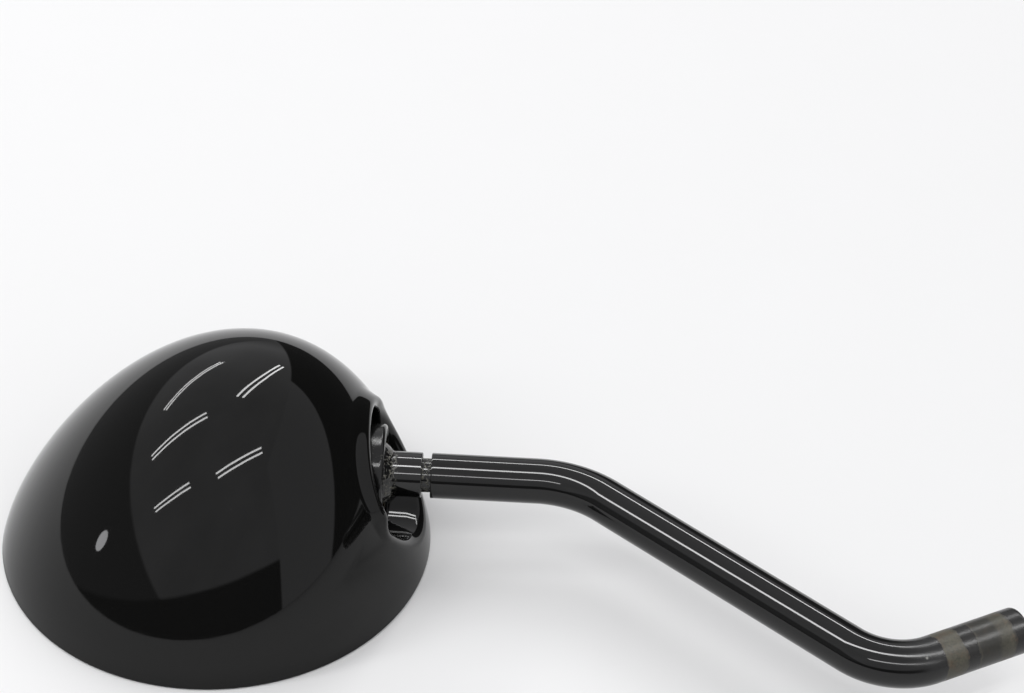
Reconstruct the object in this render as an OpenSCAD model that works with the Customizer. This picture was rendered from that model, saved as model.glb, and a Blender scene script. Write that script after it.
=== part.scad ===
// Round handlebar mirror, lying on its rim with the glass down, as it would be put on a bench.
// Millimetres, +Z up. +X runs from the head along the stem's neck, and the stem ends towards +X.

/* [Head] */
// Diameter of the housing at its rim
head_d = 115; // [108:1:122]
// Height of the housing from its rim to its top
head_depth = 60; // [57:1:70]
// How far the top of the housing leans towards the stem
head_lean = 9.6; // [6:0.1:12]
// Thickness of the moulded housing wall
shell_wall = 3; // [2.4:0.1:3.4]

/* [Pocket] */
// Diameter of the pocket that the stem leaves through
pocket_d = 34; // [33:0.5:34.5]
// Room between the socket's flange and the inside of the dome
flange_room = 4.36; // [3.4:0.01:5]
// Radius between the pocket's floor and its wall
pocket_round = 3.5; // [2:0.5:4]
// Radius of the lip where the pocket opens in the dome
lip_round = 3; // [2:0.1:3.5]

/* [Glass] */
// Thickness of the mirror glass
glass_t = 3; // [2:0.1:3.4]
// Radius of the glass's convex front
glass_curve_r = 1200; // [1000:50:1500]
// Distance of the glass's edge behind the rim
glass_setback = 2.4; // [2.2:0.1:3]
// Depth of the seat turned into the rim for the seal
seal_seat_depth = 6.6; // [6.4:0.1:7.4]
// Width of the rim's flat, from the outside to that seat
rim_land = 3.7; // [3.2:0.1:4]
// Thickness of the seal beside the glass
seal_t = 1.4; // [1:0.1:1.8]
// How far the seal's lips lap over the glass
seal_lap = 2; // [1.5:0.1:3]
// Distance of the foam pad's edge from the plate's straight edge
pad_inset = 1; // [0:0.1:6]
// Thickness of the foam pad at its edge
pad_t = 3; // [2.6:0.1:3.6]
// Thickness of the steel plate behind the pad
plate_t = 1.2; // [0.8:0.1:1.6]
// Distance of the steel plate's edge from the outside of the rim
plate_inset = 7.5; // [7:0.1:10]
// Distance of the plate's screws from its edge
plate_screw_inset = 8; // [6:0.1:9]
// Diameter of the plate's screws
plate_screw_d = 3.5; // [3:0.1:3.8]
// Length of the plate's screws under their heads
plate_screw_len = 9; // [7:0.5:12]
// Diameter of the hole in the middle of the plate
plate_hole_d = 18; // [10:1:24]

/* [Ball joint] */
// Diameter of the ball on the end of the stem
ball_d = 20; // [19:0.2:21]
// Distance of the ball's centre in front of the pocket's floor
ball_set = 1.5; // [0:0.1:2]
// Height of the ball's centre and of the stem over the rim's plane
stem_z = 25.5; // [24.5:0.1:26.5]
// Running gap between the spherical faces
joint_gap = 0.25; // [0.2:0.01:0.3]
// Thickness of the front seat ring
ring_t = 1; // [0.8:0.1:1.3]
// Thickness of the rear cup
cup_t = 1.8; // [1.4:0.1:2.2]
// Thickness of the socket's collar at the ball's widest place
collar_wall = 1.5; // [1.2:0.1:2]
// Thickness of the socket's flange
flange_t = 2.5; // [2:0.1:3]
// Thickness of the gasket under that flange
gasket_t = 0.8; // [0.5:0.1:1.2]
// Largest tilt of the head about each of its two axes
tilt_a = 15; // [10:0.5:16]
// Diameter of the pressure plate behind the rear cup
pressure_d = 19; // [17:0.5:20]
// Thickness of the pressure plate behind its dish
pressure_t = 1.6; // [1.2:0.1:2.5]
// Diameter of the pressure plate's guide pin
guide_d = 8; // [7:0.2:9]
// Thickness of a disc spring
spring_t = 0.9; // [0.7:0.05:1.1]
// Height of a disc spring's cone
spring_cone = 0.5; // [0.3:0.05:0.7]
// Thickness of the clamp bracket's sheet
bracket_t = 2; // [1.6:0.1:2.4]
// Width of the clamp bracket
bracket_w = 20; // [16:0.5:22]
// Diameter of the clamp screws
clamp_screw_d = 4; // [3.5:0.1:4.2]

/* [Stem] */
// Outer diameter of the stem's tube and of the stud's neck
stem_d = 12; // [11:0.2:12.6]
// Wall of the stem's tube
stem_wall = 1.5; // [1:0.1:2]
// Length of the stud from the ball's centre to the end of its neck
neck_len = 15.9; // [14:0.1:19]
// Width of the groove between the neck and the tube
groove_w = 2.3; // [1.5:0.1:3]
// Length of the stud's spigot inside the tube
spigot_len = 20; // [12:1:24]
// Length of the tube from the groove to the corner of the first bend
first_len = 38.4; // [34:0.1:60]
// Angle of the first bend
bend_1_a = 39.25; // [25:0.25:50]
// Centreline radius of the first bend
bend_1_r = 29; // [24:0.5:34]
// Distance between the corners of the two bends
corner_gap = 100.4; // [70:0.2:130]
// Angle of the second bend
bend_2_a = 66.9; // [45:0.1:80]
// Centreline radius of the second bend
bend_2_r = 18.4; // [16:0.2:22]
// Length from the second corner to the stem's end
end_len = 38; // [32:0.5:60]
// Rounding of the stem's end
end_round = 1.2; // [0.6:0.1:1.4]
// Length of the plug that closes the tube
plug_len = 8; // [5:0.5:12]

/* [Hidden] */
$fn = 72;

// The housing's outline: a superellipse that stands upright at the rim
dome_p = 2.2;
dome_q = 1.22;
lean_k = 1.4;
// Angle at which the lip's flare leaves the dome
lip_break_a = 12;
eps = 0.5;
// How far the tube's straights run into its bends, and how much thinner it is drawn there
seam = 0.25;
draw = 0.04;

head_r = head_d / 2;
stem_r = stem_d / 2;
bore_r = stem_r - stem_wall;

// Spherical faces of the ball joint, from the ball outwards
ball_r = ball_d / 2;
seat_r = ball_r + joint_gap;
ring_r = seat_r + ring_t;
bush_r = ring_r + joint_gap;
cup_r = seat_r + cup_t;
dish_r = cup_r + joint_gap;
collar_r = bush_r + collar_wall;
// Half angle of the neck at the ball, and the tilt where both axes reach their limit
neck_a = asin(stem_r / seat_r);
corner_a = acos(cos(tilt_a) * cos(tilt_a));
mouth_a = neck_a + corner_a + 1;
ring_front_a = neck_a + tilt_a + 9;
ring_rear_a = 88;
cup_a = 46;

clamp_screw_y = pocket_d / 2 + shell_wall + 0.5;
clamp_hole_depth = 6.5;
ear_r = 5;

// Places along the neck's axis, from the outside in: the socket's flange comes as near to the
// inside of the dome as its room lets it, and the pocket's floor lies in front of it
flange_front_x = min([for (p = flange_edge()) dome_front(p.x, stem_z + p.y, shell_wall)]) - flange_room;
flange_x = flange_front_x - flange_t;
wall_x = flange_front_x + gasket_t;
pocket_floor_x = wall_x + shell_wall;
ball_x = pocket_floor_x + ball_set;
pressure_x = ball_x - dish_r - pressure_t;
spring_h = spring_t + spring_cone;
bracket_x = pressure_x - 2 * spring_h;
bracket_leg_y = clamp_screw_y - 6;

// Heights of the glass pack over the rim's plane
seal_seat_r = head_r - rim_land;
glass_r = seal_seat_r - seal_t - 0.1;
plate_z = glass_setback + glass_t + pad_t + 0.2;
tower_z = plate_z + plate_t;
tower_r = 4;
plate_d = head_d - 2 * plate_inset;
plate_screw_r = plate_d / 2 - plate_screw_inset;
plate_cut_x = flange_x - 1.2;
pad_r = plate_cut_x - pad_inset;

// Tangent lengths of the bends, and the stem's corners in plan
neck_end_x = ball_x + neck_len;
tube_x = neck_end_x + groove_w;
first_corner_x = tube_x + first_len;
tan_1 = bend_1_r * tan(bend_1_a / 2);
tan_2 = bend_2_r * tan(bend_2_a / 2);
heading = bend_2_a - bend_1_a;
corner_2 = [first_corner_x + corner_gap * cos(bend_1_a), -corner_gap * sin(bend_1_a)];
stem_end = corner_2 + end_len * [cos(heading), sin(heading)];
bend_2_centre_y = corner_2.y + tan_2 * sin(bend_1_a) + bend_2_r * cos(bend_1_a);

// Outer box, whose bottom centre is the part's origin
box_x0 = -head_r;
box_x1 = stem_end.x - end_round * cos(heading) + (stem_r - end_round) * abs(sin(heading)) + end_round;
box_y0 = bend_2_centre_y - bend_2_r - stem_r + draw;
box_y1 = head_r;
box_centre = [(box_x0 + box_x1) / 2, (box_y0 + box_y1) / 2, 0];

// Radius of the dome at the share s of its height, and how far its axis has leaned there
function dome_r(s, r) = r * pow(max(0, 1 - pow(s, dome_q)), 1 / dome_p);
function dome_x(s) = head_lean * pow(s, lean_k);
// How far the dome reaches along the neck at the place y, z, at the depth wall under its skin
function dome_front(y, z, wall) =
    let (s = max(0, min(1, z / (head_depth - wall))), r = dome_r(s, head_r - wall))
    dome_x(s) + sqrt(max(0, r * r - y * y));
// Points round the upper edge of the socket's flange, across and above the neck's axis
function flange_edge() = concat(
    [for (a = [0:15:90]) (collar_r + 3) * [cos(a), sin(a)]],
    [for (a = [0:15:90]) [clamp_screw_y + ear_r * cos(a), ear_r * sin(a)]]);
// Fall of the convex glass at the distance r from its centre
function sag(r) = glass_curve_r - sqrt(pow(glass_curve_r, 2) - r * r);
// Height of the glass's back over the rim's plane
function glass_back(r) = glass_setback + glass_t - sag(glass_r) + sag(r);

// From the rim's centre to the part's origin
module place() translate(-box_centre) children();
// From the ball's centre, with +Z turned along the neck
module at_ball() place() translate([ball_x, 0, stem_z]) rotate([0, 90, 0]) children();
// From the foot of the neck's axis on the rim's axis, with +Z turned along the neck
module along_neck() translate([0, 0, stem_z]) rotate([0, 90, 0]) children();

// A closed bowl: rings of points that draw together towards its top
module bowl(r, h, rings, sides) {
    ring_s = [for (i = [0:rings - 1]) 1 - pow(1 - i / rings, 2)];
    points = concat(
        [for (s = ring_s, j = [0:sides - 1])
            [dome_x(s) + dome_r(s, r) * cos(360 * j / sides), dome_r(s, r) * sin(360 * j / sides), h * s]],
        [[head_lean, 0, h]]);
    function id(i, j) = i * sides + j % sides;
    faces = concat(
        [[for (j = [0:sides - 1]) j]],
        [for (i = [0:rings - 2], j = [0:sides - 1], k = [0, 1])
            k == 0 ? [id(i, j), id(i + 1, j), id(i + 1, j + 1)] : [id(i, j), id(i + 1, j + 1), id(i, j + 1)]],
        [for (j = [0:sides - 1]) [id(rings - 1, j), rings * sides, id(rings - 1, j + 1)]]);
    polyhedron(points, faces, convexity = 4);
}

// The pocket as a round recess that opens towards +Z, with a round at its floor
module pocket(r, len, round) rotate_extrude($fn = 96) intersection() {
    union() {
        square([r - round, len]);
        translate([0, round]) square([r, len - round]);
        translate([r - round, round]) circle(round);
    }
    square([r, len]);
}

// Flare that rounds the pocket's lip: it turns outwards from the pocket's wall until it has
// nearly met the dome, and then leaves the dome in a straight line
module pocket_lip(sides, steps) {
    wall_r = pocket_d / 2;
    function edge_x(a, r) = dome_front(r * sin(a), stem_z - r * cos(a), 0);
    function slope(a, r) = (edge_x(a, r + draw) - edge_x(a, r - draw)) / (2 * draw);
    // Radius about the neck where the lip's arc touches the dome
    function touch_r(a, tries) = tries == 0 ? wall_r + lip_round :
        let (m = slope(a, touch_r(a, tries - 1))) wall_r + lip_round * (1 - m / sqrt(1 + m * m));
    columns = [for (j = [0:sides - 1]) let (
            a = 360 * j / sides,
            r = touch_r(a, 4),
            lean = atan(slope(a, r)),
            x = edge_x(a, r) - lip_round * cos(lean),
            first = asin(max(0, min(1, (pocket_floor_x - x) / lip_round))),
            last = 90 - lean - lip_break_a,
            arc = [for (i = [0:steps]) let (b = first + (last - first) * i / steps)
                [x + lip_round * sin(b), wall_r + lip_round * (1 - cos(b))]],
            out = arc[steps] + 2 * lip_round * [cos(last), sin(last)])
        concat(arc, [out, [head_d, out.y]])];
    rows = steps + 3;
    function id(i, j) = i * sides + j % sides;
    points = concat(
        [for (i = [0:rows - 1], j = [0:sides - 1]) let (p = columns[j][i], a = 360 * j / sides)
            [p.y * cos(a), p.y * sin(a), p.x]],
        [[0, 0, ball_x + ball_r], [0, 0, head_d]]);
    faces = concat(
        [for (j = [0:sides - 1]) [id(0, j), id(0, j + 1), rows * sides]],
        [for (i = [0:rows - 2], j = [0:sides - 1], k = [0, 1])
            k == 0 ? [id(i, j), id(i + 1, j), id(i + 1, j + 1)] : [id(i, j), id(i + 1, j + 1), id(i, j + 1)]],
        [for (j = [0:sides - 1]) [id(rows - 1, j), rows * sides + 1, id(rows - 1, j + 1)]]);
    polyhedron(points, faces, convexity = 4);
}

// A band between two spheres, from the polar angle a to the polar angle b
module sphere_band(r_in, r_out, a, b) {
    far = 2 * r_out;
    rotate_extrude($fn = 96) intersection() {
        difference() {
            circle(r_out);
            circle(r_in);
        }
        polygon([[0, 0], far * [sin(a), cos(a)], far * [sin((a + b) / 2), cos((a + b) / 2)],
            far * [sin(b), cos(b)]]);
    }
}

// Places of the plate's screws, round the side away from the joint
module at_plate_screws()
    for (a = [100, 180, 260]) rotate(a) translate([plate_screw_r, 0, 0]) children();

// Places of the clamp screws, with +Z along the neck
module at_clamp_screws()
    for (s = [-1, 1]) translate([0, s * clamp_screw_y, 0]) children();

// Screw whose head is under z = 0 and whose shank rises from it
module screw(d, len, head_h) {
    difference() {
        union() {
            translate([0, 0, -head_h]) rotate_extrude() {
                translate([0, 0.4]) square([d, head_h - 0.4]);
                square([d - 0.4, head_h]);
            }
            cylinder(r = d / 2 - 0.1, h = len - d / 2);
            translate([0, 0, len - d / 2]) cylinder(r1 = d / 2 - 0.1, r2 = d / 8, h = d / 2);
        }
        for (a = [0, 90]) rotate(a) translate([-d * 0.6, -d * 0.13, -head_h - eps])
            cube([d * 1.2, d * 0.26, head_h * 0.6 + eps]);
    }
}

// Outline that the socket's flange shares with its gasket
module flange_outline() {
    circle(collar_r + 3);
    square([2 * ear_r, 2 * clamp_screw_y], center = true);
    at_clamp_screws() circle(ear_r);
}

// The stem as a bar of radius r, which reaches past both ends of the tube by over
module stem_bar(r, over, round) {
    translate([tube_x - over, 0, 0]) rotate([0, 90, 0])
        cylinder(r = r, h = first_corner_x - tan_1 - tube_x + over + seam);
    translate([first_corner_x - tan_1, 0, 0]) {
        translate([0, -bend_1_r, 0]) rotate(90 - bend_1_a) rotate_extrude(angle = bend_1_a)
            translate([bend_1_r, 0]) circle(r - draw);
        translate([tan_1, 0, 0]) rotate(-bend_1_a) translate([tan_1, 0, 0]) {
            translate([-seam, 0, 0]) rotate([0, 90, 0])
                cylinder(r = r, h = corner_gap - tan_1 - tan_2 + 2 * seam);
            translate([corner_gap - tan_1 - tan_2, 0, 0]) {
                translate([0, bend_2_r, 0]) rotate(-90) rotate_extrude(angle = bend_2_a)
                    translate([bend_2_r, 0]) circle(r - draw);
                translate([tan_2, 0, 0]) rotate(bend_2_a) translate([tan_2 - seam, 0, 0])
                    rotate([0, 90, 0]) rotate_extrude() round_bar(r, end_len - tan_2 + over + seam, round);
            }
        }
    }
}

// Half section of a bar with a rounded end
module round_bar(r, len, round) {
    square([r, len - round]);
    square([r - round, len]);
    if (round > 0) intersection() {
        translate([r - round, len - round]) circle(round);
        translate([0, len - round]) square([r, round]);
    }
}

// Moulded bowl with the pocket, the socket's hole and the screw towers
module housing() color([0.02, 0.02, 0.02]) place() difference() {
    bowl(head_r, head_depth, 26, 84);
    difference() {
        translate([0, 0, -0.01]) bowl(head_r - shell_wall, head_depth - shell_wall, 18, 56);
        along_neck() translate([0, 0, wall_x]) cylinder(r = pocket_d / 2 + shell_wall, h = head_r);
        along_neck() translate([0, 0, wall_x]) at_clamp_screws() cylinder(r = tower_r, h = head_r);
        at_plate_screws() translate([0, 0, tower_z]) cylinder(r = tower_r, h = head_depth);
    }
    translate([0, 0, -eps]) cylinder(r = seal_seat_r, h = seal_seat_depth + eps, $fn = 120);
    along_neck() translate([0, 0, pocket_floor_x]) pocket(pocket_d / 2, head_r, pocket_round);
    along_neck() pocket_lip(48, 5);
    along_neck() translate([0, 0, wall_x - eps]) cylinder(r = collar_r + 0.05, h = 3 * shell_wall);
    along_neck() translate([0, 0, wall_x - eps]) at_clamp_screws()
        cylinder(r = clamp_screw_d / 2, h = clamp_hole_depth + eps);
    at_plate_screws() translate([0, 0, tower_z - eps]) cylinder(r = plate_screw_d / 2, h = plate_screw_len + eps);
}

// Rubber channel that grips the glass's edge and snaps into the rim's seat
module rim_seal() color([0.05, 0.05, 0.05]) place() rotate_extrude($fn = 120) difference() {
    translate([glass_r - seal_lap, glass_setback - 1.3])
        square([seal_seat_r - 0.05 - glass_r + seal_lap, seal_seat_depth - 0.05 - glass_setback + 1.3]);
    translate([0, glass_setback - 0.15]) square([glass_r + 0.05, glass_t + 0.3]);
    translate([glass_r - seal_lap, glass_setback - 1.3]) rotate(45) square(0.8, center = true);
    translate([seal_seat_r, glass_setback - 1.3]) rotate(45) square(0.8, center = true);
}

// Convex glass of even thickness
module mirror_glass() color([0.75, 0.8, 0.85]) place() {
    steps = [for (i = [0:12]) glass_r * i / 12];
    rotate_extrude($fn = 120) polygon(concat(
        [for (r = steps) [r, glass_back(r) - glass_t]],
        [for (i = [12:-1:0]) [steps[i], glass_back(steps[i])]]));
}

// Foam disc that holds the glass off the plate
module foam_pad() color([0.2, 0.2, 0.22]) place() {
    steps = [for (i = [0:8]) pad_r * i / 8];
    rotate_extrude($fn = 96) polygon(concat(
        [for (r = steps) [r, glass_back(r) + 0.1]],
        [[pad_r, plate_z], [0, plate_z]]));
}

// Pressed steel disc with a raised ring that stiffens it, cut straight beside the ball joint
module backing_plate() color([0.6, 0.6, 0.62]) place() {
    step_r = plate_screw_r - 2 * tower_r;
    difference() {
        union() {
            translate([0, 0, plate_z]) cylinder(r = plate_d / 2, h = plate_t, $fn = 120);
            translate([0, 0, plate_z + plate_t]) rotate_extrude()
                polygon([[step_r - 6, 0], [step_r - 4.5, 1.6], [step_r - 1.5, 1.6], [step_r, 0]]);
        }
        translate([0, 0, plate_z - eps]) cylinder(r = plate_hole_d / 2, h = plate_t + 2 * eps);
        translate([plate_cut_x, -head_r, plate_z - eps]) cube([head_r, head_d, 4]);
        at_plate_screws() translate([0, 0, plate_z - eps])
            cylinder(r = plate_screw_d / 2 + 0.2, h = plate_t + 2 * eps);
    }
}

// Three screws that hold the plate up against the towers
module plate_screws() color([0.7, 0.7, 0.7]) place() at_plate_screws()
    translate([0, 0, plate_z]) screw(plate_screw_d, plate_screw_len, 1.9);

// Socket with the front spherical seat, a collar that shows in the pocket and a flange inside
module socket_bush() color([0.08, 0.08, 0.08]) at_ball() {
    front = bush_r * cos(mouth_a);
    rear = flange_x - ball_x;
    difference() {
        union() {
            translate([0, 0, rear]) linear_extrude(flange_t) flange_outline();
            translate([0, 0, rear]) rotate_extrude() {
                square([collar_r - 1, front - rear]);
                square([collar_r, front - rear - 1]);
                translate([collar_r - 1, front - rear - 1]) circle(1);
            }
        }
        sphere(bush_r, $fn = 96);
        translate([0, 0, rear - eps]) cylinder(r = bush_r, h = -rear + eps);
        cylinder(r = bush_r * sin(mouth_a), h = bush_r);
        translate([0, 0, rear - eps]) at_clamp_screws()
            cylinder(r = clamp_screw_d / 2 + 0.2, h = flange_t + 2 * eps);
    }
}

// Thin gasket between that flange and the pocket's wall
module socket_gasket() color([0.1, 0.1, 0.1]) at_ball()
    translate([0, 0, wall_x - gasket_t - ball_x]) linear_extrude(gasket_t) difference() {
        flange_outline();
        circle(collar_r + 0.1);
        at_clamp_screws() circle(clamp_screw_d / 2 + 0.3);
    }

// Front seat ring, a band of a sphere between the ball and the socket
module seat_ring() color([0.75, 0.6, 0.3]) at_ball()
    sphere_band(seat_r, ring_r, ring_front_a, ring_rear_a);

// Cup that bears on the back of the ball
module rear_cup() color([0.75, 0.6, 0.3]) at_ball()
    sphere_band(seat_r, cup_r, 180 - cup_a, 180);

// Turned plate with a dish for the cup and a pin that guides the springs
module pressure_plate() color([0.6, 0.6, 0.62]) at_ball() difference() {
    translate([0, 0, pressure_x - ball_x]) {
        cylinder(d = pressure_d, h = dish_r);
        translate([0, 0, -2 * spring_h - bracket_t]) cylinder(d = guide_d, h = 2 * spring_h + bracket_t + eps);
    }
    sphere(dish_r, $fn = 96);
    translate([0, 0, -dish_r * cos(asin(pressure_d / 2 / dish_r)) - 0.3]) cylinder(r = pressure_d, h = dish_r);
}

// Disc spring with its hollow side towards +Z
module disc_spring(side) translate([0, 0, side]) rotate_extrude()
    polygon([[guide_d / 2 + 0.2, 0], [pressure_d / 2 - 1, spring_cone],
        [pressure_d / 2 - 1, spring_cone + spring_t], [guide_d / 2 + 0.2, spring_t]]);

// Two disc springs, wide ends together
module disc_spring_front() color([0.35, 0.36, 0.38]) at_ball()
    translate([0, 0, pressure_x - ball_x]) mirror([0, 0, 1]) disc_spring(0);
module disc_spring_rear() color([0.35, 0.36, 0.38]) at_ball() disc_spring(bracket_x - ball_x);

// Pressed bracket over the back of the joint, with feet on the flange
module clamp_bracket() color([0.55, 0.56, 0.58]) at_ball() {
    rear = bracket_x - ball_x;
    foot = flange_x - ball_x;
    out_y = bracket_leg_y + bracket_t;
    half = [[out_y - 1.5, rear - bracket_t], [out_y, rear - bracket_t + 1.5], [out_y, foot - bracket_t],
        [clamp_screw_y + ear_r, foot - bracket_t], [clamp_screw_y + ear_r, foot], [bracket_leg_y, foot],
        [bracket_leg_y, rear]];
    difference() {
        intersection() {
            rotate([90, 0, 90]) translate([0, 0, -bracket_w / 2]) linear_extrude(bracket_w)
                polygon(concat(half, [for (i = [len(half) - 1:-1:0]) [-half[i].x, half[i].y]]));
            translate([0, 0, rear - bracket_t - eps]) linear_extrude(foot - rear + bracket_t + 2 * eps) {
                square([bracket_w, 2 * out_y], center = true);
                square([2 * ear_r, 2 * clamp_screw_y], center = true);
                at_clamp_screws() circle(ear_r);
            }
        }
        translate([0, 0, rear - bracket_t - eps]) cylinder(r = guide_d / 2 + 0.15, h = bracket_t + 2 * eps);
        translate([0, 0, foot - bracket_t - eps]) at_clamp_screws()
            cylinder(r = clamp_screw_d / 2 + 0.2, h = bracket_t + 2 * eps);
    }
}

// Two screws that pull the bracket and the flange against the pocket's wall
module clamp_screws() color([0.7, 0.7, 0.7]) at_ball()
    translate([0, 0, flange_x - bracket_t - 1 - ball_x]) at_clamp_screws()
        screw(clamp_screw_d, 1 + bracket_t + flange_t + gasket_t + clamp_hole_depth - 0.5, 2.4);

// Split spring washers under those screws' heads
module lock_washers() color([0.5, 0.5, 0.52]) at_ball()
    translate([0, 0, flange_x - bracket_t - 1 - ball_x]) at_clamp_screws() difference() {
        cylinder(r = clamp_screw_d - 0.3, h = 1);
        translate([0, 0, -eps]) cylinder(r = clamp_screw_d / 2 + 0.1, h = 1 + 2 * eps);
        translate([clamp_screw_d, 0, 0.5]) rotate([30, 0, 0]) cube([2 * clamp_screw_d, 0.5, 4], center = true);
    }

// Turned stud: ball, neck and the spigot that the tube is pressed over
module ball_stud() color([0.1, 0.1, 0.1]) at_ball() {
    sphere(ball_r, $fn = 96);
    rotate_extrude() {
        square([stem_r, neck_end_x - ball_x - 0.4]);
        square([stem_r - 0.4, neck_end_x - ball_x]);
        intersection() {
            translate([stem_r - 0.4, neck_end_x - ball_x - 0.4]) circle(0.4);
            square([stem_r, neck_end_x - ball_x]);
        }
    }
    cylinder(r = bore_r, h = tube_x - ball_x + spigot_len);
}

// Bent tube, open at the stud and rounded at the end that a clamp grips
module stem_tube() color([0.03, 0.03, 0.03]) place() translate([0, 0, stem_z]) difference() {
    stem_bar(stem_r, 0, end_round);
    stem_bar(bore_r, 1, 0);
}

// Plug, pressed in flush with the tube's end
module end_plug() color([0.1, 0.1, 0.1]) place()
    translate([stem_end.x, stem_end.y, stem_z]) rotate(heading) rotate([0, -90, 0])
        cylinder(r = bore_r, h = plug_len);

housing();
rim_seal();
mirror_glass();
foam_pad();
backing_plate();
plate_screws();
socket_bush();
socket_gasket();
seat_ring();
rear_cup();
pressure_plate();
disc_spring_front();
disc_spring_rear();
clamp_bracket();
clamp_screws();
lock_washers();
ball_stud();
stem_tube();
end_plug();
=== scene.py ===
import math

import bpy
import numpy as np
from mathutils import Matrix, Vector


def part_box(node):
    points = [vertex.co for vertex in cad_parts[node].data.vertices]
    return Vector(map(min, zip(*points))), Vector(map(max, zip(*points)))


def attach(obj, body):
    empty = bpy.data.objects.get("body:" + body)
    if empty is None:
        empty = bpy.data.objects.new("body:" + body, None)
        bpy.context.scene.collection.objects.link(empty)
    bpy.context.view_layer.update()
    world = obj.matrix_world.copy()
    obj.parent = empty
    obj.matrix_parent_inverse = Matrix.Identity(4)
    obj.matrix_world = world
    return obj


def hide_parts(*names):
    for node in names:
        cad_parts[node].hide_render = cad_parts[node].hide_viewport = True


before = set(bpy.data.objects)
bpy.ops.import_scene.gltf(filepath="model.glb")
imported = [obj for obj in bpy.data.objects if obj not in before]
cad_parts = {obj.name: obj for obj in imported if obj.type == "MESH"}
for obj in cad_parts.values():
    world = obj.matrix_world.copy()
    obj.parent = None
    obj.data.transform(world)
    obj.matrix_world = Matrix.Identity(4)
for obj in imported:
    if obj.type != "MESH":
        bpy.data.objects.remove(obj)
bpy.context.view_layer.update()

mm = 0.001
ballRadius = 10.0
evenGap = 0.4  # an extra ring this far from a round keeps the straight beside it evenly shaded

# Places that everything else is set out from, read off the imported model
sealLow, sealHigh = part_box("rim_seal")
ballLow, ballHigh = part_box("ball_stud")
rimCentre = Vector(((sealLow.x + sealHigh.x) / 2, (sealLow.y + sealHigh.y) / 2, 0))
ballCentre = Vector((ballLow.x + ballRadius * mm, rimCentre.y, (ballLow.z + ballHigh.z) / 2))


def clearSelection():
    if bpy.context.mode != "OBJECT":
        bpy.ops.object.mode_set(mode="OBJECT")
    bpy.ops.object.select_all(action="DESELECT")


def pick(piece):
    clearSelection()
    piece.select_set(True)
    bpy.context.view_layer.objects.active = piece


def faceOutwards():
    bpy.ops.mesh.select_all(action="SELECT")
    bpy.ops.mesh.normals_make_consistent(inside=False)
    bpy.ops.object.mode_set(mode="OBJECT")


def smooth(piece, angle=40):
    pick(piece)
    bpy.ops.object.shade_smooth_by_angle(angle=math.radians(angle))
    clearSelection()


def turned(name, outline, centre, axis, steps=128):
    clearSelection()
    bpy.ops.mesh.primitive_circle_add(vertices=len(outline), radius=1, fill_type="NOTHING")
    piece = bpy.context.object
    piece.name = name
    side = Vector((0, 0, 1)) if abs(axis.x) > 0.5 else Vector((1, 0, 0))
    for vertex, (along, radius) in zip(piece.data.vertices, outline):
        vertex.co = centre + axis * along * mm + side * max(radius, 0) * mm
    bpy.ops.object.mode_set(mode="EDIT")
    bpy.ops.mesh.select_all(action="SELECT")
    bpy.ops.mesh.spin(steps=steps, angle=2 * math.pi, center=centre, axis=axis)
    bpy.ops.mesh.select_all(action="SELECT")
    bpy.ops.mesh.remove_doubles(threshold=1e-6)
    faceOutwards()
    smooth(piece)
    return piece


def arc(centreAlong, centreRadius, radius, start, end, count):
    angles = [math.radians(start + (end - start) * i / count) for i in range(count + 1)]
    return [(centreAlong + radius * math.cos(a), centreRadius + radius * math.sin(a)) for a in angles]


# Head shell: a moulded dome with the joint's pocket. The skin is lofted ring by ring from the
# pocket's hole to the rim, because no operator gives a leaned superellipse with such a pocket.
headShell = {
    "rimRadius": 57.5,
    "depth": 60.0,
    "lean": 9.6,
    "leanPower": 1.4,
    "sidePower": 2.2,
    "topPower": 1.22,
    "wall": 3.0,
    "neckHeight": 25.5,
    "pocketRadius": 17.0,
    "floor": 37.5,
    "hole": 13.05,
    "floorFillet": 3.5,
    "lipFillet": 3.0,
    "browLip": 1.8,
    "browHeight": 2.5,
    "browInner": 18.6,
    "browOuter": 22.8,
    "browFar": (-0.15, 0.7),    # the brow rises between these sines of the angle round the
    "browNear": (-0.35, 0.15),  # neck, on the pocket's far side and on its near side
    "seatRadius": 53.8,
    "seatDepth": 6.6,
    "seatBreak": 0.3,
    "rimRound": 0.7,
    "rimShare": 0.012,          # share of the height at which the rim's round starts
    "columns": 480,
    "outerRings": 118,
    "innerRings": 14,
    "ringSpacing": 1.25,        # over 1 it sets the rings closer by the pocket
    "filletSteps": 12,
    "lipSteps": 15,
    "rimAngles": (20, 40, 60, 80, 90),
}
profilePoints, rayPoints, columnPoints = 6000, 1200, 20001  # samples that the skin is read off from


def domeRadius(share, radius):
    shape = np.maximum(0, 1 - share ** headShell["topPower"])
    return radius * shape ** (1 / headShell["sidePower"])


def domeLean(share):
    return headShell["lean"] * share ** headShell["leanPower"]


class Dome:
    # the dome's points by a place w in the unit disc: its middle is the top, its edge the rim
    def __init__(self, radius, depth):
        self.radius, self.depth = radius, depth
        s = 1 - np.linspace(1, 0, profilePoints) ** 2.2  # closer together towards the top
        r, z = domeRadius(s, radius), s * depth
        run = np.concatenate([[0], np.cumsum(np.hypot(np.diff(r), np.diff(z)))])
        self.share, self.disc = s, 1 - run / run[-1]

    def shareAt(self, disc):
        return np.interp(1 - disc, 1 - self.disc, self.share)

    def discAt(self, share):
        return np.interp(share, self.share, self.disc)

    def point(self, w):
        s = self.shareAt(np.abs(w))
        r, a = domeRadius(s, self.radius), np.angle(w)
        return np.stack([domeLean(s) + r * np.cos(a), r * np.sin(a), s * self.depth], -1)

    def frontX(self, y, z):
        s = np.clip(z / self.depth, 0, 1)
        return domeLean(s) + np.sqrt(np.maximum(domeRadius(s, self.radius) ** 2 - y * y, 0))


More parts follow.
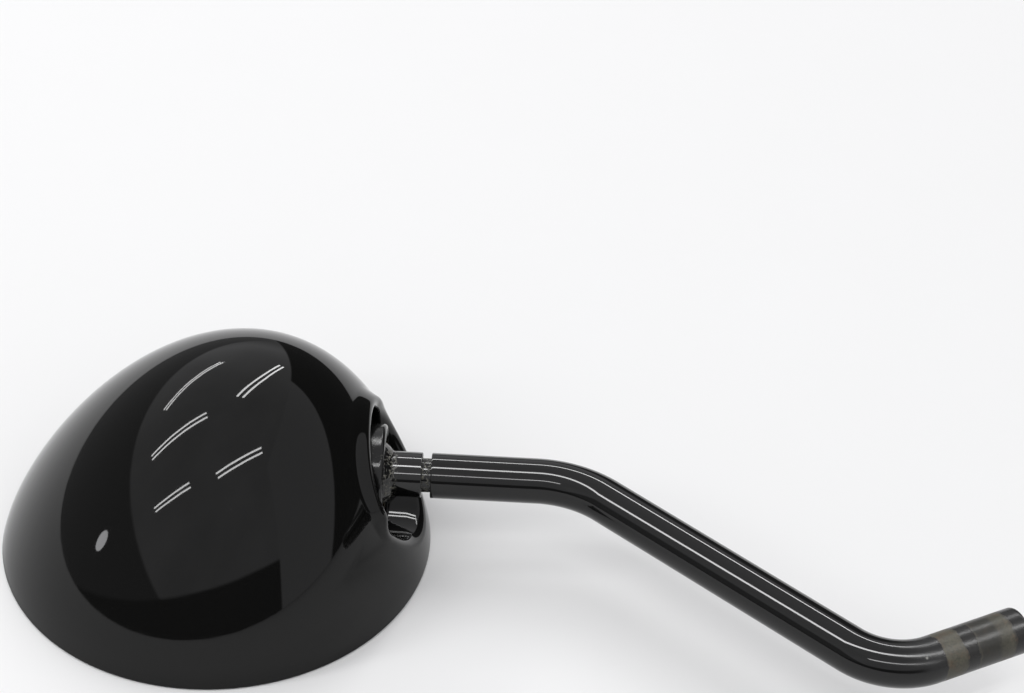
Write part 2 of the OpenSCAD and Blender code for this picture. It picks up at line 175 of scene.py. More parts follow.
def neckPolar(p):
    y, z = p[..., 1], p[..., 2] - headShell["neckHeight"]
    return np.hypot(y, z), np.arctan2(z, y)


def ease(x):
    x = np.clip(x, 0, 1)
    return x * x * (3 - 2 * x)


def browShare(phi):
    # raised over the pocket and down its near side, flush below it
    def rise(low, high):
        return ease((np.sin(phi) - low) / (high - low))

    return np.where(np.cos(phi) > 0, rise(*headShell["browFar"]), rise(*headShell["browNear"]))


def browLift(rho, phi):
    k = headShell
    fall = 1 - ease((rho - k["browInner"]) / (k["browOuter"] - k["browInner"]))
    return k["browHeight"] * browShare(phi) * fall


def slide(w, c):
    # moves the middle of the disc to c, where the neck leaves the dome
    return (w + c) / (1 + c * w)


def shellColumns(dome, count):
    c = dome.discAt(headShell["neckHeight"] / dome.depth)
    fine = np.linspace(0, 2 * np.pi, columnPoints)
    rimAngle = np.unwrap(np.angle(slide(np.exp(1j * fine), c)))
    # halfway between even round the pocket and even round the rim
    density = 0.5 * fine + 0.5 * (rimAngle - rimAngle[0])
    return c, np.interp(2 * np.pi * np.arange(count) / count, density, fine)


def headSkin():
    k = headShell
    outer = Dome(k["rimRadius"], k["depth"])
    inner = Dome(k["rimRadius"] - k["wall"], k["depth"] - k["wall"])
    c, turn = shellColumns(outer, k["columns"])
    t = 1 - np.linspace(1, 0, rayPoints) ** 1.3  # closer together towards the rim
    full = np.ones_like(turn)

    def raysOf(dome):
        w = slide(t[None, :] * np.exp(1j * turn[:, None]), c)
        p = dome.point(w)
        step = np.linalg.norm(np.diff(p, axis=1), axis=2)
        run = np.concatenate([np.zeros((len(turn), 1)), np.cumsum(step, axis=1)], axis=1)
        return {"dome": dome, "disc": np.abs(w), "points": p, "run": run}

    def ends(rays, startOf, endShare):
        disc = rays["disc"]
        rho, phi = neckPolar(rays["points"])
        past = rho - startOf(phi)
        stop = rays["dome"].discAt(endShare)
        start, end = [], []
        for j in range(len(turn)):
            n = np.argmax(past[j] >= 0)
            start.append(np.interp(0, past[j, n - 1:n + 1], t[n - 1:n + 1]))
            low = np.argmin(disc[j])
            end.append(np.interp(stop, disc[j, low:], t[low:]))
        return np.array(start), np.array(end)

    def placeOn(dome, reach):
        return dome.point(slide(reach * np.exp(1j * turn), c))

    def along(rays, start, end, count, power):
        run, each = rays["run"], range(len(turn))
        first = np.array([np.interp(start[j], t, run[j]) for j in each])
        last = np.array([np.interp(end[j], t, run[j]) for j in each])
        made = []
        for f in np.linspace(0, 1, count):
            reach = first + (last - first) * f ** power
            made.append(placeOn(rays["dome"], np.array([np.interp(reach[j], run[j], t) for j in each])))
        return made

    def skinX(rho, phi):
        front = outer.frontX(rho * np.cos(phi), k["neckHeight"] + rho * np.sin(phi))
        return front + browLift(rho, phi)

    def slope(rho, phi, step=0.05):
        return (skinX(rho + step, phi) - skinX(rho - step, phi)) / (2 * step)

    def lipRadius(phi):
        return k["lipFillet"] + (k["browLip"] - k["lipFillet"]) * browShare(phi)

    def lipEdge(phi):
        rho = k["pocketRadius"] + lipRadius(phi)
        for _ in range(6):
            m = slope(rho, phi)
            rho = k["pocketRadius"] + lipRadius(phi) * (1 - m / np.sqrt(1 + m * m))
        return rho

    def ringOf(x, r, phi):
        return np.stack([x, r * np.cos(phi), k["neckHeight"] + r * np.sin(phi)], -1)

    # where the lip's round leaves the dome, and where it meets the floor's round or the wall
    rays = raysOf(outer)
    start, end = ends(rays, lipEdge, k["rimShare"])
    rho, phi = neckPolar(placeOn(outer, start))
    tilt = np.arctan(-slope(rho, phi))
    rf, rl, filletX = k["floorFillet"], lipRadius(phi), k["floor"] + k["floorFillet"]
    lipX = skinX(rho, phi) - rl * np.cos(tilt)
    lipRho = rho - rl * np.sin(tilt)
    deep = lipX >= filletX
    rise = np.minimum(filletX - lipX, rf + rl)
    touching = lipRho - np.sqrt(np.maximum((rf + rl) ** 2 - rise ** 2, 0))
    filletRho = np.where(deep, lipRho - rl - rf, touching)
    meet = np.where(deep, np.pi / 2, np.arctan2(lipRho - filletRho, lipX - filletX))

    # the pocket: its floor, the floor's round, the wall and the lip
    rings = [ringOf(full * k["floor"], k["hole"] + (filletRho - k["hole"]) * f, phi) for f in (0, 0.5)]
    for i in range(k["filletSteps"] + 1):
        a = np.pi + (meet - np.pi) * i / k["filletSteps"]
        rings.append(ringOf(filletX + rf * np.cos(a), filletRho + rf * np.sin(a), phi))
    wallStart = filletX + rf * np.cos(meet)
    wallEnd = np.where(deep, lipX, wallStart)
    wallRho = np.where(deep, lipRho - rl, filletRho + rf * np.sin(meet))
    for f in (0.2, 0.4, 0.6, 0.8):
        rings.append(ringOf(wallStart + (wallEnd - wallStart) * f, wallRho, phi))
    lipStart = np.where(deep, -np.pi / 2, meet - np.pi)
    for i in range(k["lipSteps"]):
        a = lipStart + (tilt - lipStart) * i / k["lipSteps"]
        rings.append(ringOf(lipX + rl * np.cos(a), lipRho + rl * np.sin(a), phi))

    # the outside, down to the rim
    for ring in along(rays, start, end, k["outerRings"], k["ringSpacing"]):
        lift = np.where(ring[:, 0] > 0, browLift(*neckPolar(ring)), 0)
        rings.append(ring + np.stack([lift, 0 * lift, 0 * lift], -1))

    # the rim and the seal's seat
    rimTurn = np.angle(slide(np.exp(1j * turn), c))

    def rimRing(r, z):
        return np.stack([r * np.cos(rimTurn), r * np.sin(rimTurn), full * z], -1)

    q = k["rimRound"]
    for a in np.radians(k["rimAngles"]):
        rings.append(rimRing(k["rimRadius"] - q + q * math.cos(a), q - q * math.sin(a)))
    seat, seatBreak = k["seatRadius"], k["seatBreak"]
    rings += [rimRing(seat + seatBreak, 0), rimRing(seat, seatBreak), rimRing(seat, k["seatDepth"])]

    # the inside, back up to the wall round the pocket and to the hole
    backRho, backX = k["pocketRadius"] + k["wall"], k["floor"] - k["wall"]
    rays = raysOf(inner)
    start, end = ends(rays, lambda p: np.full_like(p, backRho), k["seatDepth"] / inner.depth)
    back = along(rays, start, end, k["innerRings"], 1.0)
    rings += back[::-1]
    _, backPhi = neckPolar(back[0])
    rings += [ringOf(full * backX, backRho, backPhi), ringOf(full * backX, k["hole"], backPhi)]
    return np.array(rings)


def loftedShell(name):
    rings = headSkin() * mm
    rings[..., 0] += rimCentre.x
    rings[..., 1] += rimCentre.y
    ringCount, columnCount = rings.shape[:2]

    def corner(i, j):
        return i % ringCount * columnCount + j % columnCount

    faces = [(corner(i, j), corner(i, j + 1), corner(i + 1, j + 1), corner(i + 1, j))
             for i in range(ringCount) for j in range(columnCount)]
    mesh = bpy.data.meshes.new(name)
    mesh.from_pydata(rings.reshape(-1, 3).tolist(), [], faces)
    piece = bpy.data.objects.new(name, mesh)
    bpy.context.collection.objects.link(piece)
    pick(piece)
    bpy.ops.object.mode_set(mode="EDIT")
    faceOutwards()
    smooth(piece, 50)
    return piece


headPiece = loftedShell("head_shell")
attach(headPiece, "head")
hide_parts("housing")
print("head shell:", len(headPiece.data.vertices), "points")


# Stem: one bent tube, drawn along its own path
stem = {
    "radius": 6.0,
    "bore": 4.5,
    "start": 57.2,
    "firstCorner": 95.6,
    "firstBend": (39.25, 29.0),  # angle in degrees, and radius
    "cornerGap": 100.4,
    "secondBend": (66.9, 18.4),
    "endLength": 38.0,
    "endRound": 1.2,
    "endSteps": 8,
    "mouth": ((0.0, 0.25), (0.08, 0.07), (0.17, 0.0)),  # steps on, and how far under the radius
    "boreBreak": (0.15, 0.1),    # along the bore, and outwards
    "boreDepth": 2.0,            # how far into the bore the mesh goes on
    "sides": 128,
}


def bentTube(name):
    k = stem
    way, size = Vector((1, 0, 0)), k["bore"]
    start = Vector((rimCentre.x + k["start"] * mm, rimCentre.y, ballCentre.z))
    spot = start + way * k["boreDepth"] * mm
    clearSelection()
    bpy.ops.mesh.primitive_circle_add(vertices=k["sides"], radius=size * mm, fill_type="NOTHING",
                                      location=spot, rotation=(0, math.pi / 2, 0))
    piece = bpy.context.object
    piece.name = name
    bpy.ops.object.transform_apply(location=True, rotation=True, scale=True)
    bpy.ops.object.mode_set(mode="EDIT")
    bpy.ops.mesh.select_mode(type="EDGE")
    bpy.ops.mesh.select_all(action="SELECT")

    def push(length, radius=None):
        nonlocal spot, size
        bpy.ops.mesh.extrude_region_move(TRANSFORM_OT_translate={"value": way * length * mm})
        spot = spot + way * length * mm
        if radius is not None:
            share = radius / size
            bpy.ops.transform.resize(value=(share, share, share), center_override=spot)
            size = radius

    def turn(angle, radius):
        nonlocal spot, way
        left = Vector((-way.y, way.x, 0)) * (1 if angle > 0 else -1)
        centre = spot + left * radius * mm
        bpy.ops.mesh.spin(steps=int(abs(angle)), angle=-math.radians(angle), axis=(0, 0, 1),
                          center=centre)
        turning = Matrix.Rotation(math.radians(angle), 3, "Z")
        spot = centre + turning @ (spot - centre)
        way = turning @ way

    (first, r1), (second, r2) = k["firstBend"], k["secondBend"]
    t1, t2 = r1 * math.tan(math.radians(first / 2)), r2 * math.tan(math.radians(second / 2))
    mouthLength = sum(on for on, under in k["mouth"])
    push(-k["boreDepth"])
    for on, under in k["mouth"]:
        push(on, k["radius"] - under)
    push(evenGap)
    push(k["firstCorner"] - t1 - k["start"] - mouthLength - evenGap)
    turn(-first, r1)
    push(k["cornerGap"] - t1 - t2)
    turn(second, r2)
    push(k["endLength"] - t2 - k["endRound"] - evenGap)
    push(evenGap)
    for i in range(k["endSteps"]):
        a, b = math.radians(90 * i / k["endSteps"]), math.radians(90 * (i + 1) / k["endSteps"])
        push(k["endRound"] * (math.sin(b) - math.sin(a)),
             k["radius"] - k["endRound"] * (1 - math.cos(b)))
    end, heading = spot.copy(), math.atan2(way.y, way.x)
    inwards, outwards = k["boreBreak"]
    push(0, k["bore"] + outwards)
    push(-inwards, k["bore"])
    push(inwards - k["boreDepth"])

    # both ends are closed inside the bore, behind the plug's face and round the spigot
    bpy.ops.mesh.edge_face_add()
    bpy.ops.mesh.select_all(action="DESELECT")
    bpy.ops.object.mode_set(mode="OBJECT")
    for vertex in piece.data.vertices:
        vertex.select = vertex.index < k["sides"]
    bpy.ops.object.mode_set(mode="EDIT")
    bpy.ops.mesh.select_mode(type="VERT")
    bpy.ops.mesh.edge_face_add()
    faceOutwards()
    smooth(piece)
    return piece, end, heading


stemPiece, stemEnd, stemHeading = bentTube("stem_pipe")
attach(stemPiece, "stem")
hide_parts("stem_tube")
print("stem:", len(stemPiece.data.vertices), "points, end at", [round(v / mm, 2) for v in stemEnd])


# Stud: ball, neck and spigot, turned in one piece
stud = {
    "ball": ballRadius,
    "neck": 6.0,
    "neckEnd": 15.9,
    "spigot": 4.5,
    "spigotEnd": 38.2,
    "root": 0.7,
    "edge": 0.4,
    "ballSteps": 60,
    "rootSteps": 6,
    "edgeSteps": 5,
}


def studOutline():
    k = stud
    # small round where the neck leaves the ball
    rootRho = k["neck"] + k["root"]
    rootAlong = math.sqrt((k["ball"] + k["root"]) ** 2 - rootRho ** 2)
    touch = math.degrees(math.atan2(rootRho, rootAlong))
    edgeAlong = k["neckEnd"] - k["edge"]
    outline = arc(0, 0, k["ball"], 180, touch, k["ballSteps"])
    outline += arc(rootAlong, rootRho, k["root"], 180 + touch, 270, k["rootSteps"])[1:]
    outline += [(rootAlong + evenGap, k["neck"]), (edgeAlong - evenGap, k["neck"]),
                (edgeAlong, k["neck"])]
    outline += arc(edgeAlong, k["neck"] - k["edge"], k["edge"], 90, 0, k["edgeSteps"])[1:]
    outline += [(k["neckEnd"], k["spigot"]), (k["spigotEnd"], k["spigot"]), (k["spigotEnd"], 0)]
    return outline


studPiece = turned("ball_and_neck", studOutline(), ballCentre, Vector((1, 0, 0)))
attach(studPiece, "stem")
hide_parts("ball_stud")
print("stud:", len(studPiece.data.vertices), "points")


# Materials, all built from nodes on the piece's own coordinates. A plain number or colour goes
# on the socket itself, and anything else is linked to it.
def feed(tree, value, socket):
    if isinstance(value, float):
        socket.default_value = value
    elif isinstance(value, tuple):
        socket.default_value = (*value, 1)
    else:
        tree.links.new(value, socket)


def addNode(tree, kind, values=None, **settings):
    made = tree.nodes.new(kind)
    for key, value in settings.items():
        setattr(made, key, value)
    for key, value in (values or {}).items():
        made.inputs[key].default_value = value
    return made


def noiseOn(tree, vector, scale, **values):
    made = addNode(tree, "ShaderNodeTexNoise", values)
    tree.links.new(vector, made.inputs["Vector"])
    feed(tree, scale, made.inputs["Scale"])
    return made.outputs["Fac"]


def spread(tree, value, low, high, first=0.0, last=1.0, **settings):
    made = addNode(tree, "ShaderNodeMapRange", {"To Min": first, "To Max": last}, **settings)
    feed(tree, value, made.inputs["Value"])
    feed(tree, low, made.inputs["From Min"])
    feed(tree, high, made.inputs["From Max"])
    return made.outputs[0]


def combine(tree, operation, first, second):
    made = addNode(tree, "ShaderNodeMath", operation=operation)
    feed(tree, first, made.inputs[0])
    feed(tree, second, made.inputs[1])
    return made.outputs[0]


def blendColour(tree, mask, first, second):
    mix = addNode(tree, "ShaderNodeMix", data_type="RGBA")
    feed(tree, mask, mix.inputs[0])
    feed(tree, first, mix.inputs[6])
    feed(tree, second, mix.inputs[7])
    return mix.outputs[2]


def blendValue(tree, mask, first, second):
    mix = addNode(tree, "ShaderNodeMix")
    feed(tree, mask, mix.inputs[0])
    feed(tree, first, mix.inputs[2])
    feed(tree, second, mix.inputs[3])
    return mix.outputs[0]


def addBump(tree, shader, height, distance):
    bump = addNode(tree, "ShaderNodeBump", {"Distance": distance, "Strength": 1.0})
    tree.links.new(height, bump.inputs["Height"])
    tree.links.new(bump.outputs[0], shader.inputs["Normal"])


markSizes = {"Dust Scale": 900.0, "Dust Level": 0.72, "Smear Scale": 40.0, "Hairline Scale": 60.0}


def marksGroup():
    group = bpy.data.node_groups.new("surfaceMarks", "ShaderNodeTree")
    face = group.interface
    face.new_socket(name="Vector", in_out="INPUT", socket_type="NodeSocketVector")
    for name, value in markSizes.items():
        socket = face.new_socket(name=name, in_out="INPUT", socket_type="NodeSocketFloat")
        socket.default_value = value
    for name in ("Dust", "Smear", "Hairlines", "Ripple"):
        face.new_socket(name=name, in_out="OUTPUT", socket_type="NodeSocketFloat")
    start, end = group.nodes.new("NodeGroupInput").outputs, group.nodes.new("NodeGroupOutput").inputs
    vector, level = start["Vector"], start["Dust Level"]

    specks = noiseOn(group, vector, start["Dust Scale"], Detail=4.0, Roughness=0.6)
    dust = spread(group, specks, level, combine(group, "ADD", level, 0.06))
    clouds = noiseOn(group, vector, start["Smear Scale"], Detail=5.0, Distortion=1.2)
    smear = spread(group, clouds, 0.45, 0.75)
    # a hairline runs where the noise passes its middle value
    veins = noiseOn(group, vector, start["Hairline Scale"], Detail=1.5, Distortion=0.4)
    away = combine(group, "ABSOLUTE", combine(group, "SUBTRACT", veins, 0.5), 0.0)
    hairlines = spread(group, away, 0.0, 0.004, 1.0, 0.0)
    ripple = noiseOn(group, vector, 220.0, Detail=1.0)
    for name, value in (("Dust", dust), ("Smear", smear), ("Hairlines", hairlines), ("Ripple", ripple)):
        group.links.new(value, end[name])
    return group


marks = marksGroup()


def startMaterial(name):
    material = bpy.data.materials.new(name)
    material.use_nodes = True
    tree = material.node_tree
    tree.nodes.clear()
    out = tree.nodes.new("ShaderNodeOutputMaterial")
    shader = tree.nodes.new("ShaderNodeBsdfPrincipled")
    tree.links.new(shader.outputs[0], out.inputs["Surface"])
    where = tree.nodes.new("ShaderNodeTexCoord").outputs["Object"]
    return material, tree, shader, where


def placeMarks(tree, where, sizes):
    made = addNode(tree, "ShaderNodeGroup", node_tree=marks)
    for name, value in zip(markSizes, sizes):
        made.inputs[name].default_value = value
    tree.links.new(where, made.inputs["Vector"])
    return made.outputs


# Each look has two colours and two roughnesses, clean and marked. The four marks are the sizes
# of the group's inputs, in their order.
glossLooks = {
    "gloss_shell": {
        "colours": ((0.0035, 0.0035, 0.0033), (0.05, 0.05, 0.045)),
        "rough": (0.03, 0.055), "sizes": (1500.0, 0.74, 45.0, 60.0), "gloss": 0.27,
    },
    "black_nylon": {
        "colours": ((0.006, 0.006, 0.006), (0.07, 0.07, 0.06)),
        "rough": (0.12, 0.25), "sizes": (1100.0, 0.64, 150.0, 200.0), "gloss": 0.4,
    },
}
plainLooks = {
    "rubber": {"colours": ((0.018, 0.018, 0.018), (0.03, 0.03, 0.03)), "rough": (0.5, 0.7)},
    "foam": {"colours": ((0.06, 0.06, 0.065), (0.04, 0.04, 0.045)), "rough": (0.85, 0.95),
             "bump": 0.0002},
    "zinc_steel": {"colours": ((0.55, 0.55, 0.56), (0.42, 0.42, 0.42)), "rough": (0.25, 0.45),
                   "metallic": 1.0},
    "brass": {"colours": ((0.6, 0.45, 0.2), (0.45, 0.32, 0.14)), "rough": (0.2, 0.4),
              "metallic": 1.0},
    "spring_steel": {"colours": ((0.3, 0.31, 0.33), (0.2, 0.2, 0.22)), "rough": (0.25, 0.4),
                     "metallic": 1.0},
    "mirror_glass": {"colours": ((0.85, 0.87, 0.88), (0.8, 0.82, 0.83)), "rough": (0.01, 0.03),
                     "metallic": 1.0, "bump": 0.0000001},
}
plainSizes = (900.0, 0.7, 60.0, 90.0)
rippleHeight = 0.000004


def glossFinish(name, colours, rough, sizes, gloss):
    material, tree, shader, where = startMaterial(name)
    group = placeMarks(tree, where, sizes)
    tree.links.new(blendColour(tree, group["Dust"], *colours), shader.inputs["Base Color"])
    tree.links.new(blendValue(tree, group["Smear"], *rough), shader.inputs["Roughness"])
    shader.inputs["Specular IOR Level"].default_value = gloss
    addBump(tree, shader, group["Ripple"], rippleHeight)
    return material


def plainFinish(name, colours, rough, metallic=0.0, bump=0.00001):
    material, tree, shader, where = startMaterial(name)
    group = placeMarks(tree, where, plainSizes)
    tree.links.new(blendColour(tree, group["Smear"], *colours), shader.inputs["Base Color"])
    tree.links.new(blendValue(tree, group["Smear"], *rough), shader.inputs["Roughness"])
    shader.inputs["Metallic"].default_value = metallic
    addBump(tree, shader, group["Hairlines"], bump)
    return material


# Wear where the clamp held the stem: how bare it is at each distance in mm from the end
stemWear = {
    "paint": (0.003, 0.003, 0.003),
    "dust": (0.05, 0.05, 0.045),
    "bare": (0.045, 0.042, 0.028),
    "rust": (0.055, 0.036, 0.02),
    "chip": (0.12, 0.12, 0.11),
    "sizes": (1800.0, 0.72, 120.0, 150.0),
    "gloss": 0.4,
    "paintRough": (0.04, 0.08),
    "rubbedRough": 0.26,
    "bareRough": 0.5,
    "reach": 30.0,
    "bands": [(0.0, 0.0), (4.6, 0.04), (5.4, 0.85), (8.6, 0.6), (9.5, 0.22), (14.8, 0.2),
              (15.1, 0.6), (15.5, 0.05), (18.8, 0.04), (19.3, 0.75), (20.3, 0.9), (24.1, 0.8),
              (24.8, 1.0), (25.3, 0.0)],
    "ragged": 1.3,
    "rubbed": (-40.0, -29.0),
    "chipSpot": (-30.0, -3.04, 5.17),
    "chipSize": 0.4,
    "paintThickness": 6.0,  # against the height of the ripple
}


def wornPaint():
    k = stemWear
    material, tree, shader, where = startMaterial("stem_paint")
    group = placeMarks(tree, where, k["sizes"])
    # mm from the middle of the stem's end, with x along the stem
    place = {"Location": stemEnd, "Rotation": (0, 0, stemHeading), "Scale": (mm, mm, mm)}
    mapping = addNode(tree, "ShaderNodeMapping", place, vector_type="TEXTURE")
    tree.links.new(where, mapping.inputs["Vector"])
    local = mapping.outputs[0]
    split = addNode(tree, "ShaderNodeSeparateXYZ")
    tree.links.new(local, split.inputs[0])
    blotch = noiseOn(tree, local, 0.35, Detail=6.0, Roughness=0.65)
    grain = noiseOn(tree, local, 1.6, Detail=5.0, Roughness=0.7)

    shift = combine(tree, "MULTIPLY", combine(tree, "SUBTRACT", blotch, 0.5), k["ragged"] * 2)
    inward = combine(tree, "ADD", combine(tree, "MULTIPLY", split.outputs["X"], -1.0), shift)
    ramp = addNode(tree, "ShaderNodeValToRGB")
    tree.links.new(combine(tree, "DIVIDE", inward, k["reach"]), ramp.inputs[0])
    stops = ramp.color_ramp.elements
    for number, (spot, amount) in enumerate(k["bands"]):
        stop = stops[number] if number < 2 else stops.new(spot / k["reach"])
        stop.position = spot / k["reach"]
        stop.color = (amount, amount, amount, 1)
    # rubbed through more in some spots than in others
    patch = spread(tree, grain, 0.3, 0.62, 0.35, 1.15)
    bare = combine(tree, "MULTIPLY", ramp.outputs["Color"], patch)
    bare = combine(tree, "MINIMUM", bare, 1.0)

    chipAway = addNode(tree, "ShaderNodeVectorMath", {1: k["chipSpot"]}, operation="DISTANCE")
    tree.links.new(local, chipAway.inputs[0])
    size = k["chipSize"]
    chip = spread(tree, chipAway.outputs["Value"], size * 0.7, size * 1.2, 1.0, 0.0)
    metal = blendColour(tree, spread(tree, blotch, 0.5, 0.68), k["bare"], k["rust"])
    dusty = blendColour(tree, group["Dust"], k["paint"], k["dust"])
    colour = blendColour(tree, chip, blendColour(tree, bare, dusty, metal), k["chip"])
    tree.links.new(colour, shader.inputs["Base Color"])
    shader.inputs["Specular IOR Level"].default_value = k["gloss"]

    # the paint is dulled all over the part that the clamp rubbed
    rubbed = spread(tree, split.outputs["X"], *k["rubbed"])
    rough = blendValue(tree, group["Smear"], *k["paintRough"])
    rough = blendValue(tree, rubbed, rough, k["rubbedRough"])
    tree.links.new(blendValue(tree, bare, rough, k["bareRough"]), shader.inputs["Roughness"])
    depth = combine(tree, "MULTIPLY", bare, -k["paintThickness"])
    addBump(tree, shader, combine(tree, "ADD", depth, group["Ripple"]), rippleHeight)
    return material


# Dirt in the groove between the neck and the tube, and a little at the neck's root. Each place
# goes from clean to dirty between two distances in mm from the ball's centre.
studDirt = {
    "paint": (0.003, 0.003, 0.003),
    "dirt": (0.06, 0.058, 0.046),
    "sizes": (1300.0, 0.53, 300.0, 300.0),
    "groove": (15.6, 15.9),
    "root": (9.6, 8.2),
    "paintRough": (0.04, 0.09),
    "dirtRough": 0.6,
    "height": 0.00004,
}


def studPaint():
    k = studDirt
    material, tree, shader, where = startMaterial("stud_paint")
    group = placeMarks(tree, where, k["sizes"])
    split = addNode(tree, "ShaderNodeSeparateXYZ")
    tree.links.new(where, split.inputs[0])
    masks = [spread(tree, split.outputs["X"], ballCentre.x + clean * mm, ballCentre.x + dirty * mm)
             for clean, dirty in (k["groove"], k["root"])]
    dirt = combine(tree, "MULTIPLY", combine(tree, "MAXIMUM", *masks), group["Dust"])
    tree.links.new(blendColour(tree, dirt, k["paint"], k["dirt"]), shader.inputs["Base Color"])
    clean = blendValue(tree, group["Smear"], *k["paintRough"])
    tree.links.new(blendValue(tree, dirt, clean, k["dirtRough"]), shader.inputs["Roughness"])
    addBump(tree, shader, dirt, k["height"])
    return material


finishes = {name: glossFinish(name, **look) for name, look in glossLooks.items()}
finishes["stem_paint"] = wornPaint()
finishes["stud_paint"] = studPaint()
finishes.update({name: plainFinish(name, **look) for name, look in plainLooks.items()})

byNode = {
    "housing": "gloss_shell",
    "rim_seal": "rubber",
    "mirror_glass": "mirror_glass",
    "foam_pad": "foam",
    "backing_plate": "zinc_steel",
    "plate_screws": "zinc_steel",
    "socket_bush": "black_nylon",
    "socket_gasket": "rubber",
    "seat_ring": "brass",
    "rear_cup": "brass",
    "pressure_plate": "zinc_steel",
    "disc_spring_front": "spring_steel",
    "disc_spring_rear": "spring_steel",
    "clamp_bracket": "zinc_steel",
    "clamp_screws": "zinc_steel",
    "lock_washers": "spring_steel",
    "ball_stud": "stud_paint",
    "stem_tube": "stem_paint",
    "end_plug": "stem_paint",
}
for name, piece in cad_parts.items():
    piece.data.materials.clear()
    piece.data.materials.append(finishes[byNode[name]])
for piece, node in ((headPiece, "housing"), (stemPiece, "stem_tube"), (studPiece, "ball_stud")):
    piece.data.materials.append(finishes[byNode[node]])
print("materials:", len(finishes))


# Floor, room and lamps
stage = {
    "floorSize": 12.0,
    "floorColour": 0.84,
    "floorSpeckle": (0.99, 0.99, 0.985),
    "floorRough": 0.9,
    "lampHeight": 2.0,
}

clearSelection()
bpy.ops.mesh.primitive_plane_add(size=stage["floorSize"], location=(0, 0, 0))
floor = bpy.context.object
floor.name = "floor"
floorMaterial, tree, shader, where = startMaterial("pale_floor")
tone = stage["floorColour"]
speckle = tuple(tone * share for share in stage["floorSpeckle"])
floorTone = blendColour(tree, noiseOn(tree, where, 30.0, Detail=6.0), (tone, tone, tone), speckle)
tree.links.new(floorTone, shader.inputs["Base Color"])
shader.inputs["Roughness"].default_value = stage["floorRough"]
shader.inputs["Specular IOR Level"].default_value = 0.0
floor.data.materials.append(floorMaterial)

# The room that the gloss shows: a pale ceiling, with darker walls below it. Each wall lies on
# the side of the room that its direction points to, and the number after it is its light.
room = {
    "ceiling": 0.72,
    "cloud": (0.75, 1.25),
    "tint": (1.0, 1.0, 1.02),
    "back": ((0, 0.2, -1), 0.3),
    "left": ((-0.465, 0.073, -0.882), 0.24),
    "front": ((0.071, -0.236, -0.968), 0.09),
    "rightLow": (1, 0, -0.45),
    "rightEdge": (0.809, 0.588, 0),
    "rightLight": 0.8,
    "doorway": ((0.25, 0.58, -0.65), 0.06),
    "window": ((-0.934, -0.285, 0.219), 9.0),
    "edge": 0.012,
    "backEdge": 0.12,
    "windowEdge": (0.9996, 0.9998),
}


def planRoom():
    world = bpy.data.worlds.new("room")
    bpy.context.scene.world = world
    world.use_nodes = True
    tree = world.node_tree
    tree.nodes.clear()
    out = tree.nodes.new("ShaderNodeOutputWorld")
    sky = tree.nodes.new("ShaderNodeBackground")
    tree.links.new(sky.outputs[0], out.inputs["Surface"])
    look = addNode(tree, "ShaderNodeTexCoord").outputs["Generated"]

    def sideOf(way, low=-room["edge"], high=room["edge"]):
        side = addNode(tree, "ShaderNodeVectorMath", {1: way}, operation="DOT_PRODUCT")
        tree.links.new(look, side.inputs[0])
        return spread(tree, side.outputs["Value"], low, high, interpolation_type="SMOOTHSTEP")

    dim, bright = room["cloud"]
    cloud = noiseOn(tree, look, 2.2, Detail=3.0)
    tone = blendValue(tree, cloud, room["ceiling"] * dim, room["ceiling"] * bright)
    way, light = room["back"]
    tone = blendValue(tree, sideOf(way, -room["backEdge"], room["backEdge"]), tone, light)
    for wall in ("left", "front"):
        way, light = room[wall]
        tone = blendValue(tree, sideOf(way), tone, light)
    rightWall = combine(tree, "MULTIPLY", sideOf(room["rightLow"]), sideOf(room["rightEdge"]))
    tone = blendValue(tree, rightWall, tone, room["rightLight"])
    way, light = room["doorway"]
    tone = blendValue(tree, combine(tree, "MULTIPLY", rightWall, sideOf(way)), tone, light)
    way, light = room["window"]
    tone = blendValue(tree, sideOf(way, *room["windowEdge"]), tone, light)
    sky.inputs["Color"].default_value = (*room["tint"], 1)
    tree.links.new(tone, sky.inputs["Strength"])


planRoom()

# Ceiling tubes in pairs over the head, each by its two ends in mm. The stem has rows of its
# own, so that it shows one even line for each row along its whole length.
headPairs = [
    ((-2321, 1197), (-997, 2865)),
    ((-251, 703), (548, 2731)),
    ((-2592, -250), (-911, 271)),
    ((-496, -1393), (587, -787)),
    ((-2672, -1942), (-1267, -1477)),
]
stemRows = [
    ((-3000, 1870), (3000, 1870), 18.0),
    ((-3000, -240), (3000, -240), 18.0),
    ((-900, -2000), (3000, -2000), 12.0),
]
tubes = {"gap": 70, "width": 50, "glow": 23.0, "rowWidth": 220}

stemSide, headSide = bpy.data.collections.new("stem_side"), bpy.data.collections.new("head_side")
stemNames = {"ball_stud", "stem_tube", "end_plug"}
for name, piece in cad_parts.items():
    (stemSide if name in stemNames else headSide).objects.link(piece)
for piece in (stemPiece, studPiece):
    stemSide.objects.link(piece)
for piece in (headPiece, floor):
    headSide.objects.link(piece)


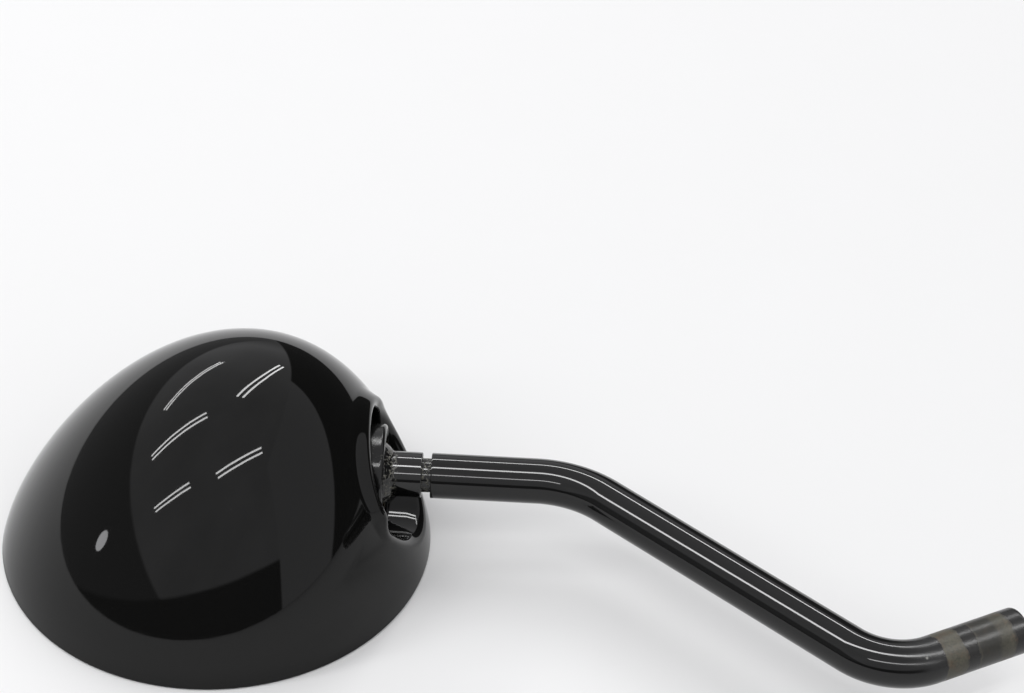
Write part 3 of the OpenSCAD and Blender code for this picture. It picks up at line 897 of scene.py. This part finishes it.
def hangTube(name, first, last, across, width, glow, lit):
    start, end = Vector((*first, 0)) * mm, Vector((*last, 0)) * mm
    way = (end - start).normalized()
    middle = (start + end) / 2 + Vector((-way.y, way.x, 0)) * across * mm + rimCentre
    lamp = bpy.data.lights.new(name, "AREA")
    lamp.shape = "RECTANGLE"
    lamp.size, lamp.size_y = (end - start).length, width * mm
    lamp.energy = glow * math.pi * lamp.size * lamp.size_y
    item = bpy.data.objects.new(name, lamp)
    bpy.context.collection.objects.link(item)
    item.location = (middle.x, middle.y, stage["lampHeight"])
    item.rotation_euler = (0, 0, math.atan2(way.y, way.x))
    item.light_linking.receiver_collection = lit


for number, (first, last) in enumerate(headPairs):
    for side in (-1, 1):
        hangTube(f"head_tube_{number}_{side}", first, last, side * tubes["gap"], tubes["width"],
                 tubes["glow"], headSide)
for number, (first, last, glow) in enumerate(stemRows):
    hangTube(f"stem_row_{number}", first, last, 0, tubes["rowWidth"], glow, stemSide)
print("stage, room and", len(headPairs) * 2 + len(stemRows), "lamps")


# Camera, worked out from the rim's ellipse and the stem's edges
camera = {
    "pitch": 38.96,
    "roll": -3.02,
    "focalPixels": 2500.0,
    "pictureWidth": 1024,
    "sensorWidth": 36.0,
    "shift": (-79.56, 50.88, 677.1),  # rim's centre in mm: across, below and in front of the lens
    "clip": (0.01, 50),
}


def placeCamera():
    pitch, roll = math.radians(camera["pitch"]), math.radians(camera["roll"])
    forward = Vector((0, math.cos(pitch), -math.sin(pitch)))
    right = Vector((1, 0, 0))
    down = forward.cross(right)
    across = right * math.cos(roll) + down * math.sin(roll)
    below = down * math.cos(roll) - right * math.sin(roll)
    rows = Matrix((across, below, forward))
    spot = -(rows.transposed() @ Vector(camera["shift"])) * mm + rimCentre
    lens = bpy.data.cameras.new("view")
    lens.sensor_fit, lens.sensor_width = "HORIZONTAL", camera["sensorWidth"]
    lens.lens = camera["focalPixels"] * camera["sensorWidth"] / camera["pictureWidth"]
    lens.clip_start, lens.clip_end = camera["clip"]
    item = bpy.data.objects.new("view", lens)
    bpy.context.collection.objects.link(item)
    facing = Matrix((across, -below, -forward)).transposed().to_4x4()
    item.matrix_world = Matrix.Translation(spot) @ facing
    bpy.context.scene.camera = item


placeCamera()
bpy.context.scene.view_settings.view_transform = "Standard"
print("camera placed")
